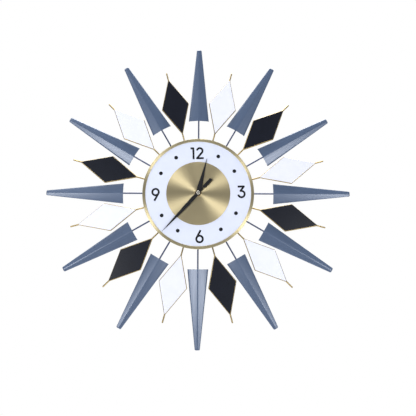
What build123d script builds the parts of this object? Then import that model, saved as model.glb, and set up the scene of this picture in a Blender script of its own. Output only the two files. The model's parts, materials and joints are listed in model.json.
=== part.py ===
from build123d import *
import math
import os

# Sunburst wall clock with a quartz movement. Millimetres, +Z up, the dial faces -Y.
# The wall is the plane Y = 0 and the hands turn about the Y axis.
# A depth is a distance in front of the wall, and a clock angle runs clockwise from 12 o'clock.

# ---- Whole clock ----
hours = 12
hour_step = 360 / hours
spoke_step = hour_step / 2
cut_margin = 1.0

# ---- Stack of depths, from the wall to the viewer ----
case_back = 0.0
case_front = 18.5
hub_back = 19.7
hub_front = 25.7
dial_back = 29.2
dial_front = 32.0
disc_front = 32.6
nut_front = 34.4
bushing_front = 34.8
hour_hand_back = 35.3
hour_tube_front = 36.0
minute_hand_back = 36.8
cannon_front = 37.6
second_hand_back = 38.3
arbor_front = 39.2
cap_front = 40.0

# ---- Rays: folded steel blades ----
blade_tip_radius = 300.0
blade_end_radius = 148.6
blade_end_width = 40.6
blade_tip_width = 10.0
blade_sheet = 0.8
blade_crest = 29.8
blade_rise = 5.5
hem_width = 2.7
hem_rise = 2.0
fold_half_width = 1.5
tip_closure = 3.5
tip_corner = 2.2
rod_radius = 1.5
rod_overlap = 44.0

# ---- Rays: gold wire diamonds with flat panels ----
wire_radius = 1.4
diamond_inner_radius = 127.2
diamond_side_radius = 184.3
diamond_outer_radius = 241.3
diamond_half_width = 26.8
wire_tip_radius = 257.5
panel_thickness = 2.5
panel_bevel = 0.35
panel_overhang = 0.1

# ---- Spoke ends screwed to the hub board ----
eye_centre_radius = 84.0
eye_radius = 4.2
eye_thickness = 1.4
eye_hole_radius = 1.6
spoke_lift = 0.1
screw_radius = 1.4
screw_head_radius = 2.8
screw_head_height = 1.5
screw_length = 5.0

# ---- Hub and dial ----
hub_radius = 100.0
spacer_radius = 62.0
rim_radius = 110.0
rim_inner_radius = 104.3
rim_wall = 1.2
rim_back = 29.0
rim_front = 33.0
rim_round = 0.6
disc_radius = 63.0
bushing_clearance_radius = 4.2
print_thickness = 0.2
print_turn = -2.0
stroke_width = 3.8
dot_ring_radius = 84.0
dot_radius = 3.7
twelve_height = 80.6
three_across = 85.0
six_height = -85.5
nine_across = -84.0
bowl_steps = 6

# ---- Numerals: the middles of their strokes, about each numeral's own centre ----
one_stem = [(-12.9, 10.3), (-7.3, 10.3), (-7.3, -12.0)]
two_centre = (5.4, 4.8)
two_radius = 5.5
two_start = -42
two_sweep = 214
two_foot = [(9.5, 1.1), (-0.5, -10.3), (12.9, -10.3)]
three_top = [(-6.9, 10.7), (5.2, 10.7), (-1.6, 2.0), (0.2, 2.0)]
three_centre = (0.0, -4.4)
three_start = -172
three_sweep = 262
six_centre = (0.0, -4.7)
six_stem = [(2.6, 12.4), (-5.4, -1.5)]
bowl_radius = 6.3

# ---- Shafts, one inside the other ----
arbor_radius = 0.5
cannon_bore = 0.55
cannon_radius = 1.5
hour_bore = 1.6
hour_tube_radius = 2.5
bushing_bore = 2.6
bushing_radius = 4.0
bushing_flange_radius = 6.0
bushing_flange = 1.2
nut_across_flats = 11.0
washer_radius = 14.0

# ---- Hands: (radius, width) pairs from the hub to the tip ----
hour_hand_angle = 13.75
minute_hand_angle = 222.4
second_hand_angle = 222.4
hour_hand_widths = [(3.0, 7.6), (12.0, 9.4), (28.0, 6.8), (48.0, 3.8), (71.0, 0.8)]
minute_hand_widths = [(2.2, 6.8), (15.0, 7.6), (35.0, 6.8), (62.0, 4.8), (98.0, 0.9)]
needle_widths = [(1.0, 1.6), (103.0, 0.6)]
tail_neck_end = 14.7
tail_neck_width = 2.0
tail_end = 37.5
tail_width = 5.6
hand_edge = 0.25
hand_ridge = 0.6
second_hand_thickness = 0.4
hour_hub_radius = 5.6
minute_hub_radius = 4.6
second_hub_radius = 3.6
cap_radius = 3.8
cap_round = 0.9

# ---- Movement case ----
case_half_width = 28.0
case_top = 27.0
case_bottom = -31.0
case_wall = 1.5
case_corner = 3.0
cover_depth = 4.5
bay_ceiling = -13.0
bay_wall = 1.2
window_half_width = 25.4
window_margin = 0.3
hanger_top = 40.0
hanger_half_width = 8.0
hanger_thickness = 3.0
hanger_crown_radius = 7.0
hanger_hole_radius = 4.0
hanger_hole_height = 33.0
plate_back = 8.2
plate_front = 9.2
plate_gap = 0.2
boss_radius = 1.2
pivot_slack = 0.05
end_play = 0.4
socket_wall = 0.65
rotor_socket_back = 12.6
third_socket_back = 12.0
setting_socket_back = 13.8
motion_boss_back = 15.1
smallest_corner = 0.5

# ---- Battery ----
battery_radius = 7.25
battery_half_length = 24.2
battery_nub_radius = 2.75
battery_nub_length = 1.0
battery_round = 0.5
battery_depth = 8.0
battery_height = -21.75
contact_half_width = 5.0
contact_thickness = 0.4
contact_bump_radius = 2.0

# ---- Gear train: teeth and modules ----
pressure_angle = 28.0
addendum = 0.72
dedendum = 0.95
tooth_slack = 0.06
flank_steps = 3
rotor_teeth = 8
intermediate_teeth = 60
rotor_module = 0.3
intermediate_pinion_teeth = 10
seconds_teeth = 40
seconds_module = 0.4
seconds_pinion_teeth = 8
third_teeth = 60
third_module = 0.4
third_pinion_teeth = 8
centre_teeth = 64
cannon_teeth = 12
motion_teeth = 36
motion_module = 0.4
motion_pinion_teeth = 10
hour_teeth = 40
setting_teeth = 12

# Headings are clock angles from one axis to the next.
intermediate_heading = 65.0
rotor_heading = 30.0
third_heading = -80.0
motion_heading = -30.0
setting_heading = 0.0

# ---- Gear train: back and front of each toothed part ----
seconds_layer = (3.2, 4.4)
intermediate_pinion_layer = (2.9, 4.7)
intermediate_layer = (5.0, 6.0)
rotor_pinion_layer = (4.7, 6.3)
third_layer = (6.7, 7.5)
seconds_pinion_layer = (6.4, 7.8)
centre_layer = (10.0, 11.0)
third_pinion_layer = (9.7, 11.2)
cannon_layer = (11.6, 13.2)
motion_layer = (11.8, 12.8)
setting_layer = (11.6, 13.0)
hour_layer = (13.6, 14.6)
motion_pinion_layer = (13.4, 14.8)
seconds_collar_radius = 0.65
wheel_hub_radius = 1.2
wheel_hub_lift = 0.6
cannon_shoulder = 0.4
pivot_recess = 0.2
arbor_back = 1.9
boss_front = 2.6
pivot_radius = 0.4
third_arbor_radius = 0.6
third_arbor_front = 13.4
rotor_arbor_front = 13.6
post_radius = 0.6
post_back = 11.4
wheel_hole_count = 4
wheel_hole_share = 0.22
wheel_hole_orbit_share = 0.56

# ---- Setting knob ----
knob_radius = 5.6
knob_back = 0.2
knob_front = 1.2
knob_well_radius = 6.2
knob_well_wall = 1.0
knob_well_floor = 2.3
knob_stem_radius = 1.0
knob_stem_front = 14.8
knob_notches = 24
knob_notch_radius = 0.45

# ---- Stepping motor and electronics ----
magnet_radius = 3.0
magnet_layer = (10.0, 12.0)
stator_hole_radius = 3.6
stator_ring_radius = 5.2
stator_layer = (10.4, 11.4)
stator_arm_width = 4.4
coil_place = 22.5
coil_depth = 14.2
coil_radius = 2.7
coil_core_radius = 0.9
coil_bottom = -2.4
coil_top = 16.4
core_bottom = -7.0
core_top = 21.0
yoke_half_width = 2.2
yoke_front = 15.6
board_left = -25.6
board_right = -9.5
board_bottom = 6.0
board_top = 24.0
board_layer = (15.4, 16.4)
chip_radius = 3.0
chip_thickness = 0.8
crystal_radius = 1.0
crystal_margin = 0.5
crystal_length = 8.0


# ---- Helpers ----
def facing(depth):
    return Plane(origin=(0, -depth, 0), x_dir=(1, 0, 0), z_dir=(0, -1, 0))


def slab(sketch, back, front):
    return extrude(facing(back) * sketch, amount=front - back, dir=(0, -1, 0))


def on_clock(shape, angle):
    return Rot(0, angle, 0) * shape


def polar(radius, angle):
    return (radius * math.sin(math.radians(angle)), radius * math.cos(math.radians(angle)))


def step_from(place, distance, heading):
    across, up = polar(distance, heading)
    return (place[0] + across, place[1] + up)


def disc(radius, back, front, place=(0, 0)):
    return slab(Pos(*place) * Circle(radius), back, front)


def ring(outer, inner, back, front, place=(0, 0)):
    return slab(Pos(*place) * (Circle(outer) - Circle(inner)), back, front)


def bar(start, end, radius):
    direction = Vector(*end) - Vector(*start)
    return Solid.make_cylinder(radius, direction.length, Plane(origin=start, z_dir=direction))


def ball(centre, radius):
    return Pos(*centre) * Sphere(radius)


def write(name, shape):
    export_step(shape, f"parts/{name}.step")


os.makedirs("parts", exist_ok=True)


# ---- Blades ----
def blade_section(radius, width, filled):
    # The folded sheet across the ray: two hems, two flanks and a rounded fold between them.
    scale = width / blade_end_width
    half = width / 2
    hem_start = half - hem_width * scale
    flank_drop = (blade_rise - hem_rise) * scale
    slope = math.atan2(flank_drop, hem_start)
    fold_drop = fold_half_width * math.tan(slope)
    crest_drop = fold_drop - fold_half_width * math.tan(slope / 2)
    edge_drop = blade_rise * scale

    def point(across, drop):
        return Vector(across, drop - blade_crest, radius)

    def path(offset):
        left_hem = Edge.make_line(point(-half, edge_drop + offset), point(-hem_start, flank_drop + offset))
        left_flank = Edge.make_line(
            point(-hem_start, flank_drop + offset), point(-fold_half_width, fold_drop + offset)
        )
        fold = Edge.make_three_point_arc(
            point(-fold_half_width, fold_drop + offset),
            point(0, crest_drop + offset),
            point(fold_half_width, fold_drop + offset),
        )
        right_flank = Edge.make_line(
            point(fold_half_width, fold_drop + offset), point(hem_start, flank_drop + offset)
        )
        right_hem = Edge.make_line(point(hem_start, flank_drop + offset), point(half, edge_drop + offset))
        return [left_hem, left_flank, fold, right_flank, right_hem]

    floor = edge_drop + blade_sheet
    right_edge = Edge.make_line(point(half, edge_drop), point(half, floor))
    left_edge = Edge.make_line(point(-half, floor), point(-half, edge_drop))
    if filled:
        under = [Edge.make_line(point(half, floor), point(-half, floor))]
    else:
        under = path(blade_sheet)
    return Wire(path(0) + [right_edge] + under + [left_edge])


def blade_width_at(radius):
    share = (radius - blade_end_radius) / (blade_tip_radius - blade_end_radius)
    return blade_end_width + share * (blade_tip_width - blade_end_width)


def blade_length(start, filled):
    sections = [
        blade_section(start, blade_width_at(start), filled),
        blade_section(blade_tip_radius, blade_tip_width, filled),
    ]
    return Solid.make_loft(sections, ruled=True)


def make_blade():
    sheet = blade_length(blade_end_radius, False) + blade_length(blade_tip_radius - tip_closure, True)
    outline = Polygon(
        (-blade_end_width / 2, blade_end_radius),
        (blade_end_width / 2, blade_end_radius),
        (blade_tip_width / 2, blade_tip_radius),
        (-blade_tip_width / 2, blade_tip_radius),
        align=None,
    )
    tip_corners = outline.vertices().sort_by(Axis.Y)[-2:]
    outline = fillet(tip_corners, tip_corner)
    return slab(outline, blade_crest - 2 * blade_rise, blade_crest + blade_sheet) & sheet


def make_eye():
    flat = Pos(0, eye_centre_radius) * Circle(eye_radius)
    hole = Pos(0, eye_centre_radius) * Circle(eye_hole_radius)
    return slab(flat - hole, hub_front, hub_front + eye_thickness)


def make_spoke(radius, end):
    depth = hub_front + radius + spoke_lift
    start = eye_centre_radius + eye_radius - radius / 2
    return make_eye() + bar((0, -depth, start), (0, -depth, end), radius)


blade = make_blade()
blade_rod = make_spoke(rod_radius, blade_end_radius + rod_overlap)
blade_rods = []
for hour in range(hours):
    write(f"blade_{hour + 1:02d}", on_clock(blade, hour * hour_step))
    blade_rods.append(on_clock(blade_rod, hour * hour_step))
write("blade_rods", Compound(children=blade_rods))


# ---- Diamonds ----
def make_diamond_frame():
    depth = hub_front + wire_radius + spoke_lift
    inner = (0, -depth, diamond_inner_radius)
    outer = (0, -depth, diamond_outer_radius)
    left = (-diamond_half_width, -depth, diamond_side_radius)
    right = (diamond_half_width, -depth, diamond_side_radius)
    tip = (0, -depth, wire_tip_radius)
    frame = make_spoke(wire_radius, diamond_inner_radius)
    corners = [inner, right, outer, left]
    for corner, following in zip(corners, corners[1:] + corners[:1]):
        frame = frame + bar(corner, following, wire_radius) + ball(corner, wire_radius)
    return frame + bar(outer, tip, wire_radius) + ball(tip, wire_radius)


def make_panel():
    rhombus = Polygon(
        (0, diamond_inner_radius),
        (diamond_half_width, diamond_side_radius),
        (0, diamond_outer_radius),
        (-diamond_half_width, diamond_side_radius),
        align=None,
    )
    outline = offset(rhombus, amount=panel_overhang, kind=Kind.INTERSECTION)
    back = hub_front + 2 * wire_radius + spoke_lift
    panel = slab(outline, back, back + panel_thickness)
    front_edges = panel.faces().sort_by(Axis.Y)[0].edges()
    return chamfer(front_edges, panel_bevel)


diamond_frame = make_diamond_frame()
panel = make_panel()
white_panels = []
black_panels = []
for hour in range(hours):
    angle = spoke_step + hour * hour_step
    write(f"diamond_frame_{hour + 1:02d}", on_clock(diamond_frame, angle))
    # Panels come in colours by turns: white, black, white, and so on round the clock.
    panel_group = white_panels if hour % 2 == 0 else black_panels
    panel_group.append(on_clock(panel, angle))
write("white_panels", Compound(children=white_panels))
write("black_panels", Compound(children=black_panels))


# ---- Hub board, spacer and screws ----
def make_screw():
    place = (0, eye_centre_radius)
    head_back = hub_front + eye_thickness
    head = disc(screw_head_radius, head_back, head_back + screw_head_height, place)
    front_edge = head.edges().sort_by(Axis.Y)[0]
    head = fillet([front_edge], screw_head_height / 2)
    return head + disc(screw_radius, hub_front - screw_length, head_back, place)


hub_sketch = Circle(hub_radius) - Circle(bushing_clearance_radius)
screw = make_screw()
ray_screws = []
for spoke in range(2 * hours):
    hub_sketch -= Pos(*polar(eye_centre_radius, spoke * spoke_step)) * Circle(screw_radius)
    ray_screws.append(on_clock(screw, spoke * spoke_step))
pilot_floor = hub_front - screw_length
hub_board = slab(hub_sketch, pilot_floor, hub_front)
hub_board = hub_board + ring(hub_radius, bushing_clearance_radius, hub_back, pilot_floor)
write("hub_board", hub_board)
write("core_spacer", ring(spacer_radius, bushing_clearance_radius, hub_front, dial_back))
write("ray_screws", Compound(children=ray_screws))


# ---- Dial ----
def make_rim():
    wall = ring(rim_radius, rim_radius - rim_wall, rim_back, rim_front)
    lip = ring(rim_radius - rim_wall, rim_inner_radius, dial_front, rim_front)
    rim = wall + lip
    front_edges = rim.faces().sort_by(Axis.Y)[0].edges()
    return fillet(front_edges, rim_round)


def stroke(points):
    shape = Sketch()
    for start, end in zip(points, points[1:]):
        length = math.dist(start, end)
        middle = ((start[0] + end[0]) / 2, (start[1] + end[1]) / 2)
        tilt = math.degrees(math.atan2(end[1] - start[1], end[0] - start[0]))
        shape += Pos(*middle) * Rot(0, 0, tilt) * Rectangle(length, stroke_width)
    for corner in points[1:-1]:
        shape += Pos(*corner) * Circle(stroke_width / 2)
    return shape


def bowl(centre, radius, start, sweep):
    outer = radius + stroke_width / 2
    inner = radius - stroke_width / 2
    annulus = Circle(outer) - Circle(inner)
    if sweep < 360:
        reach = 2 * outer
        fan = [(0, 0)]
        for step in range(bowl_steps + 1):
            turn = math.radians(start + sweep * step / bowl_steps)
            fan.append((reach * math.cos(turn), reach * math.sin(turn)))
        annulus = annulus & Polygon(*fan, align=None)
    return Pos(*centre) * annulus


def numeral_twelve():
    return stroke(one_stem) + bowl(two_centre, two_radius, two_start, two_sweep) + stroke(two_foot)


def numeral_three():
    return stroke(three_top) + bowl(three_centre, bowl_radius, three_start, three_sweep)


def numeral_six():
    return bowl(six_centre, bowl_radius, 0, 360) + stroke(six_stem)


def make_numerals():
    twelve = Pos(0, twelve_height) * numeral_twelve()
    three = Pos(three_across, 0) * numeral_three()
    six = Pos(0, six_height) * numeral_six()
    nine = Pos(nine_across, 0) * Rot(0, 0, 180) * numeral_six()
    turned = []
    for numeral in (twelve, three, six, nine):
        print_solid = slab(numeral, dial_front, dial_front + print_thickness)
        turned.append(on_clock(print_solid, print_turn))
    for hour in range(hours):
        if hour % 3 != 0:
            place = polar(dot_ring_radius, hour * hour_step + print_turn)
            turned.append(disc(dot_radius, dial_front, dial_front + print_thickness, place))
    return Compound(children=turned)


write("dial_plate", ring(rim_radius - rim_wall, bushing_clearance_radius, dial_back, dial_front))
write("dial_rim", make_rim())
write("centre_disc", ring(disc_radius, bushing_clearance_radius, dial_front, disc_front))
write("dial_print", make_numerals())


# ---- Hands ----
def hand_section(radius, width, back):
    half = width / 2
    outline = [
        (-half, -back, radius),
        (-half, -back - hand_edge, radius),
        (0, -back - hand_ridge, radius),
        (half, -back - hand_edge, radius),
        (half, -back, radius),
    ]
    return Wire.make_polygon([Vector(*corner) for corner in outline], close=True)


def ridged_blade(widths, back):
    blank = None
    for (start, start_width), (end, end_width) in zip(widths, widths[1:]):
        sections = [hand_section(start, start_width, back), hand_section(end, end_width, back)]
        stretch = Solid.make_loft(sections, ruled=True)
        blank = stretch if blank is None else blank + stretch
    return blank


def make_hand(widths, back, hub, bore, collar):
    hub_disc = disc(hub, back, back + collar)
    hand = ridged_blade(widths, back) + hub_disc
    return hand - disc(bore, back - cut_margin, back + collar + cut_margin)


def make_second_hand():
    back = second_hand_back
    front = back + second_hand_thickness
    start, start_width = needle_widths[0]
    end, end_width = needle_widths[1]
    needle = Polygon(
        (-start_width / 2, start),
        (start_width / 2, start),
        (end_width / 2, end),
        (-end_width / 2, end),
        align=None,
    )
    neck = Pos(0, -tail_end / 2) * Rectangle(tail_neck_width, tail_end)
    tail_length = tail_end - tail_neck_end
    tail = Pos(0, -(tail_neck_end + tail_end) / 2) * Rectangle(tail_width, tail_length)
    hand = slab(neck, back, front) + slab(tail, back, front) + slab(needle, back, front)
    hand += disc(second_hub_radius, back, front)
    return hand - disc(arbor_radius, back - cut_margin, front + cut_margin)


def make_cap():
    cap = disc(cap_radius, second_hand_back + second_hand_thickness, cap_front)
    cap = fillet([cap.edges().sort_by(Axis.Y)[0]], cap_round)
    return cap - disc(arbor_radius, second_hand_back, arbor_front)


hour_hand = make_hand(
    hour_hand_widths, hour_hand_back, hour_hub_radius, hour_tube_radius, hand_ridge
)
minute_hand = make_hand(
    minute_hand_widths, minute_hand_back, minute_hub_radius, cannon_radius, hand_ridge
)
write("hour_hand", on_clock(hour_hand, hour_hand_angle))
write("minute_hand", on_clock(minute_hand, minute_hand_angle))
write("second_hand", on_clock(make_second_hand(), second_hand_angle))
write("second_hand_cap", make_cap())


# ---- Gears ----
def involute(angle):
    return math.tan(angle) - angle


def gear_sketch(teeth, module, phase):
    # Involute flanks of a few straight steps. The phase is the clock angle of one tooth's middle.
    pitch_radius = teeth * module / 2
    base_radius = pitch_radius * math.cos(math.radians(pressure_angle))
    tip_radius = pitch_radius + addendum * module
    root_radius = pitch_radius - dedendum * module
    half_pitch = math.pi / (2 * teeth) - tooth_slack / (2 * pitch_radius)
    start_radius = max(base_radius, root_radius)
    flank = [(root_radius, half_pitch + involute(math.radians(pressure_angle)))]
    if start_radius == root_radius:
        flank = []
    for step in range(flank_steps + 1):
        radius = start_radius + (tip_radius - start_radius) * step / flank_steps
        roll = math.acos(base_radius / radius)
        half = half_pitch + involute(math.radians(pressure_angle)) - involute(roll)
        flank.append((radius, half))
    points = []
    for tooth in range(teeth):
        middle = phase + tooth * 360 / teeth
        points += [polar(radius, middle - math.degrees(half)) for radius, half in flank]
        points += [polar(radius, middle + math.degrees(half)) for radius, half in reversed(flank)]
    return Polygon(*points, align=None)


def meshed_phase(phase, teeth, heading, mate_teeth):
    # The phase of a mate whose axis lies at the heading, so that teeth stand in its gaps.
    share = (heading - phase) * teeth / 360
    mate_share = 0.5 - share
    return heading + 180 - mate_share * 360 / mate_teeth


def gear(teeth, module, phase, layer, place=(0, 0)):
    return slab(Pos(*place) * gear_sketch(teeth, module, phase), *layer)


def centre_distance(teeth, mate_teeth, module):
    return (teeth + mate_teeth) * module / 2


def wheel_holes(wheel_radius, layer, place):
    hole_radius = wheel_radius * wheel_hole_share
    orbit = wheel_radius * wheel_hole_orbit_share
    holes = []
    for index in range(wheel_hole_count):
        centre = step_from(place, orbit, (index + 0.5) * 360 / wheel_hole_count)
        holes.append(disc(hole_radius, layer[0] - cut_margin, layer[1] + cut_margin, centre))
    return holes


def lightened(wheel, wheel_radius, layer, place=(0, 0)):
    for hole in wheel_holes(wheel_radius, layer, place):
        wheel = wheel - hole
    return wheel


# The centre axis is the origin; the other axes step away from it.
middle = (0.0, 0.0)
intermediate_distance = centre_distance(intermediate_pinion_teeth, seconds_teeth, seconds_module)
rotor_distance = centre_distance(rotor_teeth, intermediate_teeth, rotor_module)
third_distance = centre_distance(seconds_pinion_teeth, third_teeth, third_module)
centre_module = 2 * third_distance / (third_pinion_teeth + centre_teeth)
motion_distance = centre_distance(cannon_teeth, motion_teeth, motion_module)
hour_module = 2 * motion_distance / (motion_pinion_teeth + hour_teeth)
setting_distance = centre_distance(motion_teeth, setting_teeth, motion_module)
intermediate_place = step_from(middle, intermediate_distance, intermediate_heading)
rotor_place = step_from(intermediate_place, rotor_distance, rotor_heading)
third_place = step_from(middle, third_distance, third_heading)
motion_place = step_from(middle, motion_distance, motion_heading)
setting_place = step_from(motion_place, setting_distance, setting_heading)

# Seconds wheel: wheel and pinion on the long steel arbor that carries the second hand.
seconds_wheel = gear(seconds_teeth, seconds_module, 0, seconds_layer)
seconds_wheel = lightened(seconds_wheel, seconds_teeth * seconds_module / 2, seconds_layer)
seconds_wheel += gear(seconds_pinion_teeth, third_module, 0, seconds_pinion_layer)
seconds_wheel += disc(seconds_collar_radius, seconds_layer[0], seconds_pinion_layer[1])
seconds_wheel += disc(arbor_radius, arbor_back, arbor_front)
write("seconds_wheel", seconds_wheel)

# Intermediate wheel: driven by the rotor, its pinion turns the seconds wheel.
intermediate_pinion_phase = meshed_phase(
    0, seconds_teeth, intermediate_heading, intermediate_pinion_teeth
)
intermediate_wheel = gear(
    intermediate_teeth, rotor_module, 0, intermediate_layer, intermediate_place
)
intermediate_wheel = lightened(
    intermediate_wheel, intermediate_teeth * rotor_module / 2, intermediate_layer, intermediate_place
)
intermediate_wheel += gear(
    intermediate_pinion_teeth,
    seconds_module,
    intermediate_pinion_phase,
    intermediate_pinion_layer,
    intermediate_place,
)
intermediate_hub = (intermediate_pinion_layer[0], intermediate_layer[1] + wheel_hub_lift)
intermediate_wheel += disc(wheel_hub_radius, *intermediate_hub, intermediate_place)
intermediate_wheel += disc(pivot_radius, arbor_back, plate_front - pivot_recess, intermediate_place)
write("intermediate_wheel", intermediate_wheel)

# Rotor: a two-pole magnet on a small pinion's arbor.
rotor_phase = meshed_phase(0, intermediate_teeth, rotor_heading, rotor_teeth)
rotor_pinion = gear(rotor_teeth, rotor_module, rotor_phase, rotor_pinion_layer, rotor_place)
rotor_pinion += disc(pivot_radius, arbor_back, rotor_arbor_front, rotor_place)
write("rotor_pinion", rotor_pinion)
write("rotor_magnet", ring(magnet_radius, pivot_radius, *magnet_layer, rotor_place))

# Third wheel: behind the middle plate, with its pinion in front of the plate.
third_phase = meshed_phase(0, seconds_pinion_teeth, third_heading, third_teeth)
third_wheel = gear(third_teeth, third_module, third_phase, third_layer, third_place)
third_wheel = lightened(third_wheel, third_teeth * third_module / 2, third_layer, third_place)
third_wheel += gear(third_pinion_teeth, centre_module, 0, third_pinion_layer, third_place)
third_wheel += disc(third_arbor_radius, arbor_back, third_arbor_front, third_place)
write("third_wheel", third_wheel)

# Centre wheel: a friction fit on the cannon pinion's tube.
centre_phase = meshed_phase(0, third_pinion_teeth, third_heading + 180, centre_teeth)
centre_wheel = gear(centre_teeth, centre_module, centre_phase, centre_layer)
centre_wheel = lightened(centre_wheel, centre_teeth * centre_module / 2, centre_layer)
centre_bore_radius = cannon_radius + pivot_slack
centre_wheel -= disc(centre_bore_radius, centre_layer[0] - cut_margin, centre_layer[1] + cut_margin)
write("centre_wheel", centre_wheel)

# Cannon pinion: the tube that carries the minute hand.
cannon_pinion = gear(cannon_teeth, motion_module, 0, cannon_layer)
cannon_pinion += disc(cannon_radius, centre_layer[0] - cannon_shoulder, cannon_front)
cannon_pinion -= disc(cannon_bore, centre_layer[0] - cut_margin, cannon_front + cut_margin)
write("cannon_pinion", cannon_pinion)

# Motion wheel and pinion: turn on a fixed post, and step the minutes down to the hours.
motion_phase = meshed_phase(0, cannon_teeth, motion_heading, motion_teeth)
motion_wheel = gear(motion_teeth, motion_module, motion_phase, motion_layer, motion_place)
motion_wheel += gear(motion_pinion_teeth, hour_module, 0, motion_pinion_layer, motion_place)
motion_wheel += disc(wheel_hub_radius, motion_layer[0], motion_pinion_layer[1], motion_place)
motion_wheel -= disc(post_radius + pivot_slack, motion_layer[0] - cut_margin, case_front, motion_place)
write("motion_wheel", motion_wheel)

# Hour wheel: its tube carries the hour hand round the cannon pinion.
hour_phase = meshed_phase(0, motion_pinion_teeth, motion_heading + 180, hour_teeth)
hour_wheel = gear(hour_teeth, hour_module, hour_phase, hour_layer)
hour_wheel += disc(hour_tube_radius, hour_layer[0], hour_tube_front)
hour_wheel -= disc(hour_bore, hour_layer[0] - cut_margin, hour_tube_front + cut_margin)
write("hour_wheel", hour_wheel)

# Setting knob: the thumb disc at the back, its stem and the pinion that turns the motion wheel.
setting_phase = meshed_phase(motion_phase, motion_teeth, setting_heading, setting_teeth)
knob_sketch = Circle(knob_radius)
for notch in range(knob_notches):
    knob_sketch -= Pos(*polar(knob_radius, notch * 360 / knob_notches)) * Circle(knob_notch_radius)
setting_knob = slab(Pos(*setting_place) * knob_sketch, knob_back, knob_front)
setting_knob += disc(knob_stem_radius, knob_front, knob_stem_front, setting_place)
setting_knob += gear(setting_teeth, motion_module, setting_phase, setting_layer, setting_place)
write("setting_knob", setting_knob)


# ---- Movement case ----
def case_outline(inset):
    width = 2 * (case_half_width - inset)
    height = case_top - case_bottom - 2 * inset
    centre = (0, (case_top + case_bottom) / 2)
    return Pos(*centre) * RectangleRounded(width, height, max(case_corner - inset, smallest_corner))


def shell_wall(back, front):
    return slab(case_outline(0) - case_outline(case_wall), back, front)


def band(left, right, bottom, top):
    return Pos((left + right) / 2, (bottom + top) / 2) * Rectangle(right - left, top - bottom)


def bay_divider(back, front):
    inner = case_half_width - case_wall
    return slab(band(-inner, inner, bay_ceiling - bay_wall, bay_ceiling), back, front)


def socket(place, radius, back, arbor_end):
    # A moulded boss with a blind hole for a pivot, open at its back.
    bore = radius + pivot_slack
    boss = disc(bore + socket_wall, back, floor_back, place)
    return boss - disc(bore, back - cut_margin, arbor_end + end_play, place)


floor_back = case_front - case_wall
front_shell = shell_wall(cover_depth, floor_back) + slab(case_outline(0), floor_back, case_front)
front_shell += bay_divider(cover_depth, floor_back)
front_shell -= disc(bushing_radius, floor_back - cut_margin, case_front + cut_margin)
front_shell += socket(rotor_place, pivot_radius, rotor_socket_back, rotor_arbor_front)
front_shell += socket(third_place, third_arbor_radius, third_socket_back, third_arbor_front)
front_shell += socket(setting_place, knob_stem_radius, setting_socket_back, knob_stem_front)
front_shell += disc(boss_radius, motion_boss_back, floor_back, motion_place)
front_shell += disc(post_radius, post_back, floor_back, motion_place)
write("movement_case", front_shell)

cover = shell_wall(case_wall, cover_depth) + slab(case_outline(0), case_back, case_wall)
cover += bay_divider(case_wall, cover_depth)
window_bottom = case_bottom + case_wall + window_margin
window_top = bay_ceiling - bay_wall - window_margin
window = band(-window_half_width, window_half_width, window_bottom, window_top)
cover -= slab(window, case_back - cut_margin, case_wall + cut_margin)
cover -= disc(knob_well_radius, case_back - cut_margin, case_wall + cut_margin, setting_place)
cover += ring(
    knob_well_radius + knob_well_wall,
    knob_stem_radius + pivot_slack,
    case_wall,
    knob_well_floor,
    setting_place,
)
for place, radius in (
    (middle, arbor_radius),
    (intermediate_place, pivot_radius),
    (rotor_place, pivot_radius),
    (third_place, third_arbor_radius),
):
    cover += ring(boss_radius, radius + pivot_slack, case_wall, boss_front, place)
hanger_height = hanger_top - case_top + case_corner
hanger = Pos(0, hanger_top - hanger_height / 2) * Rectangle(2 * hanger_half_width, hanger_height)
hanger_crown = hanger.vertices().sort_by(Axis.Y)[-2:]
hanger = fillet(hanger_crown, hanger_crown_radius)
cover += slab(hanger, case_back, hanger_thickness)
cover -= disc(hanger_hole_radius, case_back - cut_margin, cover_depth, (0, hanger_hole_height))
write("movement_cover", cover)

plate_inset = case_wall + plate_gap
plate_half = case_half_width - plate_inset
plate_outline = band(-plate_half, plate_half, bay_ceiling + plate_gap, case_top - plate_inset)
middle_plate = slab(plate_outline & case_outline(plate_inset), plate_back, plate_front)
for place, radius in (
    (middle, arbor_radius),
    (intermediate_place, pivot_radius),
    (rotor_place, pivot_radius),
    (third_place, third_arbor_radius),
    (setting_place, knob_stem_radius),
):
    middle_plate -= disc(radius + pivot_slack, plate_back - cut_margin, plate_front + cut_margin, place)
write("middle_plate", middle_plate)

# ---- Bushing, washer and nut that clamp the movement to the hub ----
flange_back = floor_back - bushing_flange
bushing = ring(bushing_radius, bushing_bore, flange_back, bushing_front)
bushing += ring(bushing_flange_radius, bushing_bore, flange_back, floor_back)
write("shaft_bushing", bushing)
write("rubber_washer", ring(washer_radius, bushing_clearance_radius, case_front, hub_back))
hexagon = RegularPolygon(nut_across_flats / 2, 6, major_radius=False)
hex_nut = slab(hexagon - Circle(bushing_radius), disc_front, nut_front)
write("hex_nut", hex_nut)


# ---- Battery and contacts ----
def along_bay(start, end, radius):
    return bar((start, -battery_depth, battery_height), (end, -battery_depth, battery_height), radius)


cell = along_bay(-battery_half_length, battery_half_length, battery_radius)
cell = fillet(cell.edges().filter_by(GeomType.CIRCLE), battery_round)
nub_end = battery_half_length + battery_nub_length
cell += along_bay(battery_half_length, nub_end, battery_nub_radius)
write("battery", cell)

contact_outer = case_half_width - case_wall
contact_inner = contact_outer - contact_thickness
contact_plate = Box(contact_thickness, 2 * contact_half_width, 2 * contact_half_width)
contact_centre = (contact_inner + contact_outer) / 2
contacts = [
    Pos(contact_centre, -battery_depth, battery_height) * contact_plate
    + along_bay(nub_end, contact_inner, contact_bump_radius),
    Pos(-contact_centre, -battery_depth, battery_height) * contact_plate
    + along_bay(-contact_inner, -battery_half_length, contact_bump_radius),
]
write("battery_contacts", Compound(children=contacts))


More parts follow.
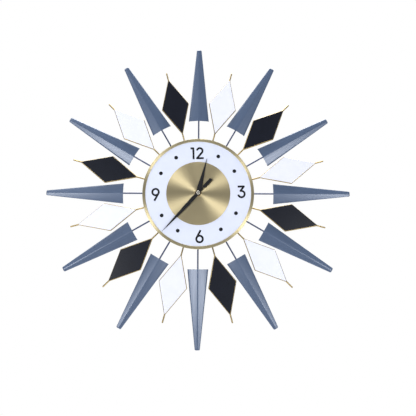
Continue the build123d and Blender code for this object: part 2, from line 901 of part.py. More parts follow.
# ---- Stepping motor ----
def arm(start, end, width):
    length = math.dist(start, end)
    centre = ((start[0] + end[0]) / 2, (start[1] + end[1]) / 2)
    tilt = math.degrees(math.atan2(end[1] - start[1], end[0] - start[0]))
    return Pos(*centre) * Rot(0, 0, tilt) * Rectangle(length, width)


top_yoke = (coil_place, core_top - yoke_half_width)
bottom_yoke = (coil_place, core_bottom + yoke_half_width)
lamination = Pos(*rotor_place) * Circle(stator_ring_radius)
for yoke in (top_yoke, bottom_yoke):
    lamination += arm(rotor_place, yoke, stator_arm_width)
    lamination += Pos(*yoke) * Rectangle(2 * yoke_half_width, 2 * yoke_half_width)
lamination -= Pos(*rotor_place) * Circle(stator_hole_radius)
stator = slab(lamination, *stator_layer)
for yoke in (top_yoke, bottom_yoke):
    block = Pos(*yoke) * Rectangle(2 * yoke_half_width, 2 * yoke_half_width)
    stator += slab(block, stator_layer[1], yoke_front)
core = bar((coil_place, -coil_depth, core_bottom), (coil_place, -coil_depth, core_top), coil_core_radius)
stator -= core
write("stator", stator)
write("coil_core", core)
winding = bar((coil_place, -coil_depth, coil_bottom), (coil_place, -coil_depth, coil_top), coil_radius)
write("coil", winding - core)

# ---- Circuit board with its chip and crystal ----
board = slab(band(board_left, board_right, board_bottom, board_top), *board_layer)
chip_place = ((board_left + board_right) / 2, board_top - 2 * chip_radius)
board += disc(chip_radius, board_layer[0] - chip_thickness, board_layer[0], chip_place)
crystal_height = board_bottom + 2 * crystal_radius + crystal_margin
crystal_start = chip_place[0] - crystal_length / 2
crystal_depth = board_layer[0] - crystal_radius / 2
board += bar(
    (crystal_start, -crystal_depth, crystal_height),
    (crystal_start + crystal_length, -crystal_depth, crystal_height),
    crystal_radius,
)
write("circuit_board", board)
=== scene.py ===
import json
import math
import bmesh
import bpy
from mathutils import Matrix, Vector


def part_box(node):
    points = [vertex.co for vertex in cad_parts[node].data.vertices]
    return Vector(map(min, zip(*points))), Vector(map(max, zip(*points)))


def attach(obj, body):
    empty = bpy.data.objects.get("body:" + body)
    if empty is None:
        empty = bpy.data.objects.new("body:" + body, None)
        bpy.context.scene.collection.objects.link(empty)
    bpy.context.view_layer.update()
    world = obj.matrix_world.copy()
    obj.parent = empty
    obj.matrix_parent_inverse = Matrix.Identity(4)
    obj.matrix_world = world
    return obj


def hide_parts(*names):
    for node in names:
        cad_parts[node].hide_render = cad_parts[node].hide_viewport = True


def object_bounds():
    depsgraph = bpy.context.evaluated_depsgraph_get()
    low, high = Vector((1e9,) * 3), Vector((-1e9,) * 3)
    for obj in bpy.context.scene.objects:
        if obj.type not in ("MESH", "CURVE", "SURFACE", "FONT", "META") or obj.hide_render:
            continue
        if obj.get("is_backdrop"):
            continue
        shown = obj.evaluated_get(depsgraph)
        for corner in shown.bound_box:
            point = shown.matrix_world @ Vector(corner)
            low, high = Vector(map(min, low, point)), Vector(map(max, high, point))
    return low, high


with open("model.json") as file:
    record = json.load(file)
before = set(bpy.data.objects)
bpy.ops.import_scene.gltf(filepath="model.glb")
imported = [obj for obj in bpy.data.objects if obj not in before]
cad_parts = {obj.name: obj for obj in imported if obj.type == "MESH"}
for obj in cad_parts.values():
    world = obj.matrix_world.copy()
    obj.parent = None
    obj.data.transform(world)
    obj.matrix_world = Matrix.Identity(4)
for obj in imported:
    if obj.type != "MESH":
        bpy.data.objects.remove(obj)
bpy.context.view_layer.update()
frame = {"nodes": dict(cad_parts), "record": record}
mm = 0.001
nodeBody = {
    node: body
    for body, nodes in frame["record"]["behaviour"]["bodies"].items()
    for node in nodes
}
print("frame loaded:", len(nodeBody), "nodes")


def linearColor(code):
    # sRGB hex to the linear colour that a socket takes
    channels = [int(code[i:i + 2], 16) / 255 for i in (1, 3, 5)]
    linear = [c / 12.92 if c <= 0.04045 else ((c + 0.055) / 1.055) ** 2.4 for c in channels]
    return (*linear, 1.0)


def addNode(tree, kind, settings=None, links=None):
    node = tree.nodes.new(kind)
    for key, value in (settings or {}).items():
        if isinstance(key, int) or key in node.inputs:
            node.inputs[key].default_value = value
        else:
            setattr(node, key, value)
    for key, source in (links or {}).items():
        tree.links.new(source, node.inputs[key])
    return node


def newMaterial(name, values):
    material = bpy.data.materials.new(name)
    material.use_nodes = True
    tree = material.node_tree
    tree.nodes.clear()
    shader = addNode(tree, "ShaderNodeBsdfPrincipled", values)
    addNode(tree, "ShaderNodeOutputMaterial", links={"Surface": shader.outputs["BSDF"]})
    return material, tree, shader


def objectPoint(tree, size):
    # object coordinates in units of a pattern's size, given in millimetres along x, y and z
    coords = addNode(tree, "ShaderNodeTexCoord")
    return addNode(
        tree, "ShaderNodeMapping",
        {"Scale": [1 / (s * mm) for s in size]}, {"Vector": coords.outputs["Object"]},
    ).outputs["Vector"]


def mapPoint(tree, layer, size):
    # the piece's own map holds millimetres, and so does the pattern's size
    coords = addNode(tree, "ShaderNodeUVMap", {"uv_map": layer})
    return addNode(
        tree, "ShaderNodeMapping",
        {"Scale": [1 / s for s in size] + [1.0]}, {"Vector": coords.outputs["UV"]},
    ).outputs["Vector"]


noiseLow, noiseHigh = 0.3, 0.7  # most of a noise pattern lies between these


def dressSurface(tree, shader, colour=None, rough=None, relief=None, bumpStrength=1.0):
    # colour is a pattern with its dark and light ends, rough a pattern with the lowest and
    # highest roughness, and relief a pattern with its depth in millimetres
    if colour:
        pattern, dark, light = colour
        mix = addNode(
            tree, "ShaderNodeMix",
            {"data_type": "RGBA", 6: linearColor(dark), 7: linearColor(light)}, {0: pattern},
        )
        tree.links.new(mix.outputs[2], shader.inputs["Base Color"])
    if rough:
        pattern, lowest, highest = rough
        spread = addNode(
            tree, "ShaderNodeMapRange",
            {"From Min": noiseLow, "From Max": noiseHigh, "To Min": lowest, "To Max": highest},
            {"Value": pattern},
        )
        tree.links.new(spread.outputs["Result"], shader.inputs["Roughness"])
    if relief:
        pattern, depth = relief
        bump = addNode(
            tree, "ShaderNodeBump",
            {"Strength": bumpStrength, "Distance": depth * mm}, {"Height": pattern},
        )
        tree.links.new(bump.outputs["Normal"], shader.inputs["Normal"])


slateLook = {
    "dark": "#445570",
    "light": "#53647E",
    "streak": (1.6, 60.0),  # mm across and along the blade
    "peel": (2.5, 2.5),
    "peelDepth": 0.005,
    "lowestRough": 0.28,
    "highestRough": 0.36,
}


def slateLacquer(look):
    # satin metallic lacquer sprayed on folded steel: soft sheen with faint lengthwise streaks
    material, tree, shader = newMaterial(
        "satinMetallicLacquer",
        {"Metallic": 0.1, "Coat Weight": 0.35, "Coat Roughness": 0.26},
    )
    streak = addNode(
        tree, "ShaderNodeTexNoise", {"Scale": 1.0, "Detail": 3.0, "Roughness": 0.6},
        {"Vector": mapPoint(tree, "grain", look["streak"])},
    ).outputs["Fac"]
    peel = addNode(
        tree, "ShaderNodeTexNoise", {"Scale": 1.0, "Detail": 2.0},
        {"Vector": mapPoint(tree, "grain", look["peel"])},
    ).outputs["Fac"]
    dressSurface(
        tree, shader,
        colour=(streak, look["dark"], look["light"]),
        rough=(streak, look["lowestRough"], look["highestRough"]),
        relief=(peel, look["peelDepth"]),
    )
    return material


def rodLacquer(dark, light, cloudSize):
    # the same lacquer on thin drawn rod, coloured darker as painted shade, and slightly mottled
    material, tree, shader = newMaterial(
        "rodLacquerWithPaintedShade", {"Metallic": 0.5, "Coat Weight": 0.2},
    )
    cloud = addNode(
        tree, "ShaderNodeTexNoise", {"Scale": 1.0, "Detail": 3.0},
        {"Vector": objectPoint(tree, (cloudSize,) * 3)},
    ).outputs["Fac"]
    dressSurface(tree, shader, colour=(cloud, dark, light), rough=(cloud, 0.34, 0.46))
    return material


def goldPlate(name, dark, light, rough, cloudSize=3, fineSize=0.5):
    # satin gold plating on bent steel wire: warm metal, slightly uneven sheen
    material, tree, shader = newMaterial(name, {"Metallic": 1.0})
    cloud = addNode(
        tree, "ShaderNodeTexNoise", {"Scale": 1.0, "Detail": 4.0, "Roughness": 0.65},
        {"Vector": objectPoint(tree, (cloudSize,) * 3)},
    ).outputs["Fac"]
    fine = addNode(
        tree, "ShaderNodeTexNoise", {"Scale": 1.0, "Detail": 2.0},
        {"Vector": objectPoint(tree, (fineSize,) * 3)},
    ).outputs["Fac"]
    dressSurface(
        tree, shader,
        colour=(cloud, dark, light),
        rough=(cloud, rough - 0.05, rough + 0.07),
        relief=(fine, 0.01),
    )
    return material


def spunMetal(name, dark, light, rough, groove):
    # lathe-brushed metal: fine rings round the axis, which stretch highlights into radial
    # wedges; a groove is drawn a few times its real width, in mm, so that it shows
    material, tree, shader = newMaterial(
        name, {"Metallic": 1.0, "Anisotropic": 1.0, "Anisotropic Rotation": 0.25},
    )
    coords = addNode(tree, "ShaderNodeUVMap", {"uv_map": "turned"}).outputs["UV"]
    radius = addNode(tree, "ShaderNodeSeparateXYZ", links={"Vector": coords}).outputs["Y"]
    rings = addNode(
        tree, "ShaderNodeTexNoise",
        {"noise_dimensions": "1D", "Scale": 1 / groove, "Detail": 3.0, "Roughness": 0.7},
        {"W": radius},
    ).outputs["Fac"]
    dressSurface(
        tree, shader,
        colour=(rings, dark, light),
        rough=(rings, rough - 0.04, rough + 0.04),
        relief=(rings, 0.012), bumpStrength=0.6,
    )
    tangent = addNode(
        tree, "ShaderNodeTangent", {"direction_type": "UV_MAP", "uv_map": "turned"},
    )
    tree.links.new(tangent.outputs["Tangent"], shader.inputs["Tangent"])
    return material


def sprayedBoard(name, dark, light, rough, grain=1.2, gloss=0.5, cloudSize=18):
    # sprayed lacquer on thin board: nearly even colour over a fine orange peel
    material, tree, shader = newMaterial(name, {"IOR": 1.5, "Specular IOR Level": gloss})
    cloud = addNode(
        tree, "ShaderNodeTexNoise", {"Scale": 1.0, "Detail": 2.0},
        {"Vector": objectPoint(tree, (cloudSize,) * 3)},
    ).outputs["Fac"]
    peel = addNode(
        tree, "ShaderNodeTexNoise", {"Scale": 1.0, "Detail": 2.0},
        {"Vector": objectPoint(tree, (grain,) * 3)},
    ).outputs["Fac"]
    dressSurface(
        tree, shader,
        colour=(cloud, dark, light),
        rough=(peel, rough - 0.04, rough + 0.05),
        relief=(peel, 0.02),
    )
    return material


def mouldedPlastic(name, dark, light, rough, texture=0.5, relief=0.03):
    # injection moulded plastic: a fine even grit from the mould, which softens the gloss
    material, tree, shader = newMaterial(name, {"IOR": 1.53})
    grit = addNode(
        tree, "ShaderNodeTexNoise", {"Scale": 1.0, "Detail": 4.0, "Roughness": 0.7},
        {"Vector": objectPoint(tree, (texture,) * 3)},
    ).outputs["Fac"]
    dressSurface(
        tree, shader,
        colour=(grit, dark, light),
        rough=(grit, rough - 0.06, rough + 0.08),
        relief=(grit, relief),
    )
    return material


def fibreBoard(name, dark, light, fibreSize=2.5):
    # pressed wood fibre: short matted fibres, dull surface
    material, tree, shader = newMaterial(name, {})
    fibre = addNode(
        tree, "ShaderNodeTexNoise",
        {"Scale": 1.0, "Detail": 6.0, "Roughness": 0.75, "Distortion": 1.5},
        {"Vector": objectPoint(tree, (fibreSize,) * 3)},
    ).outputs["Fac"]
    dressSurface(
        tree, shader,
        colour=(fibre, dark, light), rough=(fibre, 0.62, 0.85), relief=(fibre, 0.06),
    )
    return material


def machinedMetal(name, dark, light, rough, markSize=(0.6, 0.25, 0.6)):
    # turned or stamped metal: fine tool marks, which break up the highlights
    material, tree, shader = newMaterial(name, {"Metallic": 1.0})
    marks = addNode(
        tree, "ShaderNodeTexNoise", {"Scale": 1.0, "Detail": 4.0, "Roughness": 0.6},
        {"Vector": objectPoint(tree, markSize)},
    ).outputs["Fac"]
    dressSurface(
        tree, shader,
        colour=(marks, dark, light),
        rough=(marks, rough - 0.06, rough + 0.08),
        relief=(marks, 0.008),
    )
    return material


def copperWinding(turnPitch):
    # enamelled copper wire laid turn beside turn: dark bands of painted shade between the turns
    # and bright bands of painted highlight on them, over a bump of the turns; the turns are
    # drawn wide so that they show
    material, tree, shader = newMaterial(
        "enamelledCopperWire", {"Metallic": 0.9, "Roughness": 0.35},
    )
    oncePerUnit = 0.3142  # a wave texture at this scale, pi / 10, repeats once in each unit
    turns = addNode(
        tree, "ShaderNodeTexWave",
        {"bands_direction": "Z", "Scale": oncePerUnit, "Distortion": 0.2},
        {"Vector": objectPoint(tree, (turnPitch,) * 3)},
    ).outputs["Fac"]
    # the dark colour is painted shade between the turns and the bright colour a painted
    # highlight on each turn
    dressSurface(tree, shader, colour=(turns, "#6E3418", "#C97B45"), relief=(turns, 0.1))
    return material


def circuitBoard(trackSize):
    # glass-epoxy board: green solder mask, paler over the copper tracks
    material, tree, shader = newMaterial("solderMaskOnEpoxy", {"Roughness": 0.38})
    tracks = addNode(
        tree, "ShaderNodeTexBrick",
        {"Color1": linearColor("#1C5B33"), "Color2": linearColor("#174B2B"),
         "Mortar": linearColor("#4F9A63"), "Mortar Size": 0.06, "Scale": 1.0},
        {"Vector": objectPoint(tree, (trackSize,) * 3)},
    )
    tree.links.new(tracks.outputs["Color"], shader.inputs["Base Color"])
    dressSurface(tree, shader, relief=(tracks.outputs["Fac"], 0.03))
    return material


def printedSleeve(bandStart):
    # shrink sleeve on a cell: dark print over most of its length, then a coppery band
    material, tree, shader = newMaterial("printedCellSleeve", {"Metallic": 0.7})
    along = addNode(
        tree, "ShaderNodeSeparateXYZ", links={"Vector": objectPoint(tree, (1, 1, 1))},
    ).outputs["X"]
    band = addNode(
        tree, "ShaderNodeMath", {"operation": "GREATER_THAN", 1: bandStart / mm}, {0: along},
    ).outputs[0]
    wrinkle = addNode(
        tree, "ShaderNodeTexNoise", {"Scale": 1.0, "Detail": 3.0},
        {"Vector": objectPoint(tree, (1.5, 6, 6))},
    ).outputs["Fac"]
    dressSurface(
        tree, shader,
        colour=(band, "#23262D", "#B5854C"), rough=(wrinkle, 0.24, 0.34), relief=(wrinkle, 0.03),
    )
    return material


slate = slateLacquer(slateLook)
# the rod's two colours are the blade lacquer darkened, as painted shade
shadedRodPaint = rodLacquer("#333B58", "#454F6E", cloudSize=2)
# the wire's gold is darkened and browned as painted shade, standing in for dark reflections and
# the panels' shadow on the wire
wireGoldWithPaintedShade = goldPlate("satinGoldPlatedWire", "#857247", "#B09B69", rough=0.34)
rimGold = spunMetal("turnedGoldRim", "#B9AC85", "#D3C7A0", rough=0.38, groove=0.6)
discGold = spunMetal("latheBrushedGoldDisc", "#C2B38B", "#D5C8A1", rough=0.46, groove=0.35)
whiteBoard = sprayedBoard("whiteLacquerOnBoard", "#E4E7F5", "#ECEEF9", rough=0.34)
blackBoard = sprayedBoard("blackLacquerOnBoard", "#0F121B", "#151924", rough=0.3, gloss=0.22)
dialWhite = sprayedBoard("dialLacquer", "#D6DCEF", "#DEE4F3", rough=0.48)
ink = sprayedBoard("screenPrintedInk", "#04050A", "#090B12", rough=0.5, grain=0.6, gloss=0.25)
handBlack = sprayedBoard(
    "blackPaintOnAluminium", "#06070B", "#0C0D12", rough=0.42, grain=0.7, gloss=0.3,
)
hubPaint = fibreBoard("blackStainedFibreboard", "#17161A", "#2A282C")
rawBoard = fibreBoard("bareFibreboard", "#7E5E3C", "#A58258")
blackAbs = mouldedPlastic("blackMouldedAbs", "#121315", "#1E2023", rough=0.52)
knobAbs = mouldedPlastic("blackKnobAbs", "#1A1B1E", "#26282C", rough=0.45)
palePlate = mouldedPlastic("naturalMouldedAbs", "#C9C6BA", "#DAD8CE", rough=0.5)
acetal = mouldedPlastic(
    "whiteAcetalGear", "#E4E2D8", "#F1F0E9", rough=0.32, texture=0.8, relief=0.01,
)
blackRubber = mouldedPlastic(
    "blackNitrileRubber", "#0F0F10", "#1B1B1C", rough=0.75, texture=0.8, relief=0.05,
)
magnetGrey = mouldedPlastic("sinteredMagnet", "#2A2B2F", "#3C3D42", rough=0.6, texture=0.3)
turnedBrass = machinedMetal("turnedBrass", "#B08F4E", "#D6B877", rough=0.28)
zincSteel = machinedMetal("zincPlatedSteel", "#9C9A92", "#C4C1B6", rough=0.35)
nickelSteel = machinedMetal("nickelPlatedSpringSteel", "#B8B6AE", "#DCDAD2", rough=0.25)
laminatedSteel = machinedMetal("bareMotorSteel", "#84868A", "#ABADB0", rough=0.38)
capMetal = machinedMetal("polishedCapMetal", "#C9C3B2", "#E9E4D6", rough=0.2)
batteryLow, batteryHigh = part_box("battery")
printedShare = 0.7  # of the cell's length, before the coppery band
cellSleeve = printedSleeve(batteryLow[0] + printedShare * (batteryHigh[0] - batteryLow[0]))
windingCopper = copperWinding(turnPitch=0.4)
boardGreen = circuitBoard(trackSize=4)
print("materials made")

edgeMaker = {
    "segments": 2,
    "angle": 40,
    "flatWeight": 100,
}


def addObject(name, data):
    thing = bpy.data.objects.new(name, data)
    bpy.context.scene.collection.objects.link(thing)
    return thing


def placePiece(bm, name, material, body, angle):
    mesh = bpy.data.meshes.new(name)
    bm.to_mesh(mesh)
    bm.free()
    piece = addObject(name, mesh)
    mesh.materials.append(material)
    mesh.shade_smooth()
    mesh.set_sharp_from_angle(angle=math.radians(angle))
    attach(piece, body)
    return piece


def addBevel(piece, width, angle=edgeMaker["angle"]):
    bevel = piece.modifiers.new("edgeRound", "BEVEL")
    bevel.width = width
    bevel.segments = edgeMaker["segments"]
    bevel.limit_method = "ANGLE"
    bevel.angle_limit = math.radians(angle)


def addFlatShading(piece):
    # large faces keep their flat look beside small rounds
    weighted = piece.modifiers.new("flatFaces", "WEIGHTED_NORMAL")
    weighted.keep_sharp = True
    weighted.weight = edgeMaker["flatWeight"]


# a blade is folded from sheet along its crest and hems, and pressed round at the tip
bladeMaker = {
    "count": 12,
    "tipWidth": 10.0 * mm,
    "hemWidth": 2.7 * mm,
    "hemRise": 2.0 * mm,
    "sheet": 0.8 * mm,
    "foldRound": 1.5 * mm,
    "foldSteps": 6,
    "tipRound": 2.4 * mm,
    "tipSteps": 5,
    "tipGap": 0.02,  # share of the height that stays open where the tip closes
    "crestWithin": 1e-7,  # how near to its middle plane the crest's points lie
    "edgeRound": 0.15 * mm,
    "edgeAngle": 60,
    "smoothAngle": 24,
    "grainShift": 90,  # mm along the grain from one blade to the next
}


def ringOf(result):
    verts = [item for item in result["geom"] if isinstance(item, bmesh.types.BMVert)]
    edges = [item for item in result["geom"] if isinstance(item, bmesh.types.BMEdge)]
    return verts, edges


def makeBladeSheet(maker):
    low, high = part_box("blade_01")
    half = high[0]
    rise = high[1] - low[1] - maker["sheet"]
    ratio = maker["tipWidth"] / (2 * half)
    profile = [
        (-half, rise),
        (maker["hemWidth"] - half, rise - maker["hemRise"]),
        (0, 0),
        (half - maker["hemWidth"], rise - maker["hemRise"]),
        (half, rise),
    ]
    bm = bmesh.new()
    verts = [bm.verts.new((across, low[1] + drop, low[2])) for across, drop in profile]
    edges = [bm.edges.new(pair) for pair in zip(verts, verts[1:])]
    straight = high[2] - low[2] - maker["tipRound"]
    verts, edges = ringOf(bmesh.ops.extrude_edge_only(bm, edges=edges))
    bmesh.ops.scale(
        bm, vec=(ratio, ratio, 1), verts=verts, space=Matrix.Translation((0, -low[1], 0)),
    )
    bmesh.ops.translate(bm, vec=(0, 0, straight), verts=verts)
    floorY = low[1] + rise * ratio
    tipHalf = maker["tipWidth"] / 2
    width, height, reach = tipHalf, 1.0, 0.0
    for step in range(1, maker["tipSteps"] + 1):  # the tip closes over a quarter round
        turn = math.radians(90 * step / maker["tipSteps"])
        verts, edges = ringOf(bmesh.ops.extrude_edge_only(bm, edges=edges))
        newWidth = tipHalf - maker["tipRound"] * (1 - math.cos(turn))
        newHeight = max(math.cos(turn), maker["tipGap"])
        newReach = maker["tipRound"] * math.sin(turn)
        bmesh.ops.scale(
            bm, vec=(newWidth / width, newHeight / height, 1), verts=verts,
            space=Matrix.Translation((0, -floorY, 0)),
        )
        bmesh.ops.translate(bm, vec=(0, 0, newReach - reach), verts=verts)
        width, height, reach = newWidth, newHeight, newReach
    crest = [
        edge for edge in bm.edges
        if all(abs(vert.co.x) < maker["crestWithin"] for vert in edge.verts)
    ]
    bmesh.ops.bevel(
        bm, geom=crest, offset=maker["foldRound"], offset_type="OFFSET",
        segments=maker["foldSteps"], profile=0.5, affect="EDGES", material=-1,
    )
    bmesh.ops.recalc_face_normals(bm, faces=bm.faces)
    if sum(face.normal.y * face.calc_area() for face in bm.faces) > 0:
        bmesh.ops.reverse_faces(bm, faces=bm.faces)
    grain = bm.loops.layers.uv.new("grain")
    for face in bm.faces:
        for loop in face.loops:
            loop[grain].uv = (loop.vert.co.x / mm, loop.vert.co.z / mm)
    return bm


def makeBlades(maker):
    master = makeBladeSheet(maker)
    for hour in range(maker["count"]):
        node = f"blade_{hour + 1:02d}"
        bm = master.copy()
        turn = Matrix.Rotation(math.radians(360 / maker["count"] * hour), 3, "Y")
        bmesh.ops.rotate(bm, verts=bm.verts, cent=(0, 0, 0), matrix=turn)
        grain = bm.loops.layers.uv["grain"]
        for face in bm.faces:
            for loop in face.loops:  # each blade shows its own stretch of grain
                loop[grain].uv.x += maker["grainShift"] * hour
        piece = placePiece(
            bm, f"bladeSheet_{hour + 1:02d}", slate, nodeBody[node], maker["smoothAngle"],
        )
        wall = piece.modifiers.new("sheetThickness", "SOLIDIFY")
        wall.thickness = maker["sheet"]
        wall.offset = -1
        addBevel(piece, maker["edgeRound"], maker["edgeAngle"])
        addFlatShading(piece)
        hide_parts(node)
    master.free()


makeBlades(bladeMaker)
print("blades made")

turnedMaker = {
    "steps": 180,
    "mergeGap": 0.001 * mm,
    "aroundScale": 20,  # map units in a radian
    "smoothAngle": 40,
}


def latheRing(profile, maker):
    # a closed profile of (radius, y) spun round the hands' axis, with a map of turns and radius
    bm = bmesh.new()
    verts = [bm.verts.new((radius, y, 0)) for radius, y in profile]
    edges = [bm.edges.new(pair) for pair in zip(verts, verts[1:] + verts[:1])]
    bmesh.ops.spin(
        bm, geom=verts + edges, axis=(0, 1, 0), cent=(0, 0, 0), angle=2 * math.pi,
        steps=maker["steps"], use_merge=True,
    )
    bmesh.ops.remove_doubles(bm, verts=bm.verts, dist=maker["mergeGap"])
    bmesh.ops.recalc_face_normals(bm, faces=bm.faces)
    turned = bm.loops.layers.uv.new("turned")
    for face in bm.faces:
        middle = face.calc_center_median()
        base = math.atan2(middle.x, middle.z)
        for loop in face.loops:
            spot = loop.vert.co
            angle = math.atan2(spot.x, spot.z)
            while angle - base > math.pi:  # a face on the seam keeps its corners together
                angle -= 2 * math.pi
            while base - angle > math.pi:
                angle += 2 * math.pi
            around = angle * maker["aroundScale"]
            loop[turned].uv = (around, math.hypot(spot.x, spot.z) / mm)
    return bm


def roundedCorner(corner, before, after, radius, steps):
    # points of a round that replaces a profile's corner
    toBefore = (Vector(before) - Vector(corner)).normalized() * radius
    toAfter = (Vector(after) - Vector(corner)).normalized() * radius
    points = []
    for step in range(steps + 1):
        t = step / steps
        points.append(Vector(corner) + toBefore * (1 - t) ** 2 + toAfter * t ** 2)
    return [tuple(point) for point in points]


rimMaker = {
    "lip": 5.7 * mm,
    "wall": 1.2 * mm,
    "lipDepth": 1.0 * mm,
    "outerRound": 0.7 * mm,
    "outerSteps": 5,
    "innerRound": 0.35 * mm,
    "innerSteps": 4,
}


def makeRim(maker):
    low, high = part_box("dial_rim")
    outer = max(high[0], high[2])
    inner = outer - maker["lip"]
    front, back = low[1], high[1]
    shelf = front + maker["lipDepth"]
    corners = [
        (inner, shelf),
        (outer - maker["wall"], shelf),
        (outer - maker["wall"], back),
        (outer, back),
        (outer, front),
        (inner, front),
    ]
    profile = corners[:4]
    profile += roundedCorner(
        corners[4], corners[3], corners[5], maker["outerRound"], maker["outerSteps"],
    )
    profile += roundedCorner(
        corners[5], corners[4], corners[0], maker["innerRound"], maker["innerSteps"],
    )
    piece = placePiece(
        latheRing(profile, turnedMaker), "turnedRim", rimGold, nodeBody["dial_rim"],
        turnedMaker["smoothAngle"],
    )
    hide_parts("dial_rim")


discMaker = {
    "bore": 4.2 * mm,
    "edgeRound": 0.25 * mm,
    "edgeSteps": 4,
    "bands": 8,
}


def makeCentreDisc(maker):
    low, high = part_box("centre_disc")
    outer = max(high[0], high[2])
    front, back = low[1], high[1]
    corners = [(maker["bore"], back), (outer, back), (outer, front), (maker["bore"], front)]
    profile = corners[:2]
    profile += roundedCorner(
        corners[2], corners[1], corners[3], maker["edgeRound"], maker["edgeSteps"],
    )
    for band in range(1, maker["bands"]):  # plain turns between the edge and the bore
        share = band / maker["bands"]
        profile.append((outer - maker["edgeRound"] - share * (outer - maker["bore"]), front))
    profile.append(corners[3])
    piece = placePiece(
        latheRing(profile, turnedMaker), "brushedCentreDisc", discGold, nodeBody["centre_disc"],
        turnedMaker["smoothAngle"],
    )
    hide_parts("centre_disc")


makeRim(rimMaker)
makeCentreDisc(discMaker)
print("turned pieces made")

copyMaker = {
    "mergeGap": 0.002 * mm,
    "flatAngle": 0.5,
}


def finishedCopy(node, name, slot, material, bevel, angle):
    # the CAD shape, merged into whole faces, with smooth rounds and softened edges
    bm = bmesh.new()
    bm.from_mesh(frame["nodes"][node].data)
    bmesh.ops.remove_doubles(bm, verts=bm.verts, dist=copyMaker["mergeGap"])
    bmesh.ops.dissolve_limit(
        bm, angle_limit=math.radians(copyMaker["flatAngle"]), verts=bm.verts, edges=bm.edges,
    )
    piece = placePiece(bm, name, material, nodeBody[node], angle)
    if bevel:
        addBevel(piece, bevel * mm)
        addFlatShading(piece)
    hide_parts(node)


for index in range(1, bladeMaker["count"] + 1):  # a wire diamond stands between two blades
    finishedCopy(
        f"diamond_frame_{index:02d}", f"diamondWire_{index:02d}", "gold_wire", wireGoldWithPaintedShade,
        bevel=0, angle=40,
    )

# node, piece, slot, material, edge round in mm, smoothing angle
copiedPieces = [
    ("blade_rods", "bladeRods", "rod_paint", shadedRodPaint, 0, 40),
    ("white_panels", "whitePanels", "white_board", whiteBoard, 0.2, 35),
    ("black_panels", "blackPanels", "black_board", blackBoard, 0.2, 35),
    ("dial_plate", "dialBoard", "dial_white", dialWhite, 0.2, 35),
    ("hub_board", "hubBoard", "hub_wood", hubPaint, 0.5, 35),
    ("core_spacer", "coreSpacer", "spacer_wood", rawBoard, 0.2, 35),
    ("hour_hand", "hourHand", "hand_black", handBlack, 0.06, 20),
    ("minute_hand", "minuteHand", "hand_black", handBlack, 0.06, 20),
    ("second_hand", "secondHand", "hand_black", handBlack, 0.06, 35),
    ("second_hand_cap", "handCap", "cap_metal", capMetal, 0, 50),
    ("hex_nut", "hexNut", "nut_brass", turnedBrass, 0.25, 35),
    ("shaft_bushing", "shaftBushing", "nut_brass", turnedBrass, 0.12, 35),
    ("rubber_washer", "rubberWasher", "washer_rubber", blackRubber, 0.2, 35),
    ("movement_case", "movementCase", "case_plastic", blackAbs, 0.25, 35),
    ("movement_cover", "movementCover", "case_plastic", blackAbs, 0.25, 35),
    ("setting_knob", "settingKnob", "knob_plastic", knobAbs, 0, 35),
    ("battery", "battery", "battery_shell", cellSleeve, 0, 40),
    ("ray_screws", "rayScrews", "screw_steel", zincSteel, 0, 40),
]
for row in copiedPieces:
    finishedCopy(*row)
print("finished copies made")

# these CAD nodes stay as they are, with a better material
paintedNodes = {
    "dial_print": ink,
    "intermediate_wheel": acetal,
    "seconds_wheel": acetal,
    "third_wheel": acetal,
    "centre_wheel": acetal,
    "rotor_pinion": acetal,
    "cannon_pinion": acetal,
    "motion_wheel": acetal,
    "hour_wheel": acetal,
    "middle_plate": palePlate,
    "rotor_magnet": magnetGrey,
    "stator": laminatedSteel,
    "coil_core": laminatedSteel,
    "coil": windingCopper,
    "circuit_board": boardGreen,
    "battery_contacts": nickelSteel,
}


def paintNode(node, material):
    slots = frame["nodes"][node].material_slots
    if not slots:
        frame["nodes"][node].data.materials.append(material)
    for slot in slots:
        slot.material = material


for node, material in paintedNodes.items():
    paintNode(node, material)
print("CAD nodes painted")

floorMaker = {
    "drop": 1.6,  # metres below the lowest blade
    "radius": 3.2,
    "segments": 128,
    "colour": "#F4F4F6",
    "rough": 0.8,
}


def makeFloor(maker):
    low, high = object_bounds()
    bm = bmesh.new()
    bmesh.ops.create_circle(
        bm, cap_ends=True, segments=maker["segments"], radius=maker["radius"],
    )
    bmesh.ops.translate(bm, vec=(0, 0, low[2] - maker["drop"]), verts=bm.verts)
    mesh = bpy.data.meshes.new("floor")
    bm.to_mesh(mesh)
    bm.free()
    paint = newMaterial(
        "paleFloorPaint",
        {"Base Color": linearColor(maker["colour"]), "Roughness": maker["rough"]},
    )[0]
    mesh.materials.append(paint)
    floor = addObject("floor", mesh)
    floor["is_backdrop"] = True


makeFloor(floorMaker)

# azimuth runs to the right of the dial's axis and elevation above it, as seen from the clock;
# distances and sizes are in metres and power in watts
softboxes = {
    "leftBox": {
        "azimuth": -26, "elevation": -5, "distance": 3.3, "size": (0.42, 0.75), "power": 27,
    },
    "rightBox": {
        "azimuth": 24, "elevation": -7.5, "distance": 3.3, "size": (0.42, 0.75), "power": 25,
    },
    "upperLeftKey": {
        "azimuth": -52, "elevation": 42, "distance": 1.6, "size": (0.8, 0.8), "power": 8,
    },
    "topBox": {
        "azimuth": 180, "elevation": 74, "distance": 1.6, "size": (1.6, 1.6), "power": 60,
    },
    "backBox": {
        "azimuth": 150, "elevation": 24, "distance": 1.6, "size": (1.0, 1.0), "power": 14,
    },
}


def addSoftbox(name, box):
    turn, lift = math.radians(box["azimuth"]), math.radians(box["elevation"])
    away = Vector((
        math.sin(turn) * math.cos(lift), -math.cos(turn) * math.cos(lift), math.sin(lift),
    ))
    data = bpy.data.lights.new(name, "AREA")
    data.shape = "RECTANGLE"
    data.size, data.size_y = box["size"]
    data.energy = box["power"]
    lamp = addObject(name, data)
    lamp.location = away * box["distance"]
    lamp.rotation_euler = away.to_track_quat("Z", "Y").to_euler()


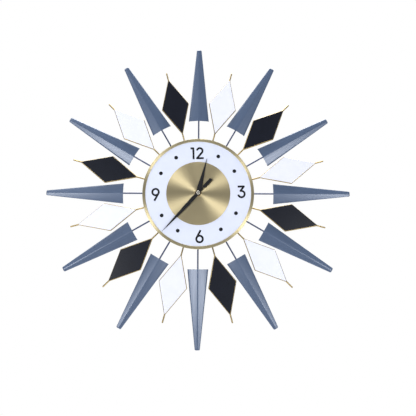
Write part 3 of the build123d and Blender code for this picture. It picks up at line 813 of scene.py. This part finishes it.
for boxName, box in softboxes.items():
    addSoftbox(boxName, box)

ceilingMaker = {"strength": 1.6, "spread": 25}


def addCeilingWash(maker):
    # a wide, even light straight down, which brightens the floor and leaves upright faces alone
    data = bpy.data.lights.new("ceilingWash", "SUN")
    data.energy = maker["strength"]
    data.angle = math.radians(maker["spread"])
    addObject("ceilingWash", data)


addCeilingWash(ceilingMaker)

worldMaker = {
    "seen": "#FFFFFF",  # what the camera sees behind the clock
    "seenStrength": 1.0,
    "lit": "#F2F5FF",  # what lights it
    "litStrength": 0.4,
}


def makeWorld(maker):
    world = bpy.data.worlds.new("studioWhite")
    bpy.context.scene.world = world
    world.use_nodes = True
    tree = world.node_tree
    tree.nodes.clear()
    seen = addNode(
        tree, "ShaderNodeBackground",
        {"Color": linearColor(maker["seen"]), "Strength": maker["seenStrength"]},
    )
    lit = addNode(
        tree, "ShaderNodeBackground",
        {"Color": linearColor(maker["lit"]), "Strength": maker["litStrength"]},
    )
    ray = addNode(tree, "ShaderNodeLightPath")
    pick = addNode(
        tree, "ShaderNodeMixShader",
        links={0: ray.outputs["Is Camera Ray"], 1: lit.outputs[0], 2: seen.outputs[0]},
    )
    addNode(tree, "ShaderNodeOutputWorld", links={"Surface": pick.outputs[0]})


makeWorld(worldMaker)
bpy.context.scene.view_settings.view_transform = "Standard"

cameraMaker = {
    "place": (0.01537, -0.82124, -0.1279),
    "pitch": 7.114,
    "yaw": 0.287,
    "roll": 0.221,
    "lens": 35.093,
    "sensor": 36,
}


def makeCamera(maker):
    data = bpy.data.cameras.new("camera")
    data.lens = maker["lens"]
    data.sensor_width = maker["sensor"]
    camera = addObject("camera", data)
    camera.matrix_world = (
        Matrix.Translation(maker["place"])
        @ Matrix.Rotation(-math.radians(maker["yaw"]), 4, "Z")
        @ Matrix.Rotation(math.radians(90 + maker["pitch"]), 4, "X")
        @ Matrix.Rotation(math.radians(maker["roll"]), 4, "Z")
    )
    bpy.context.scene.camera = camera


makeCamera(cameraMaker)
print("stage set")
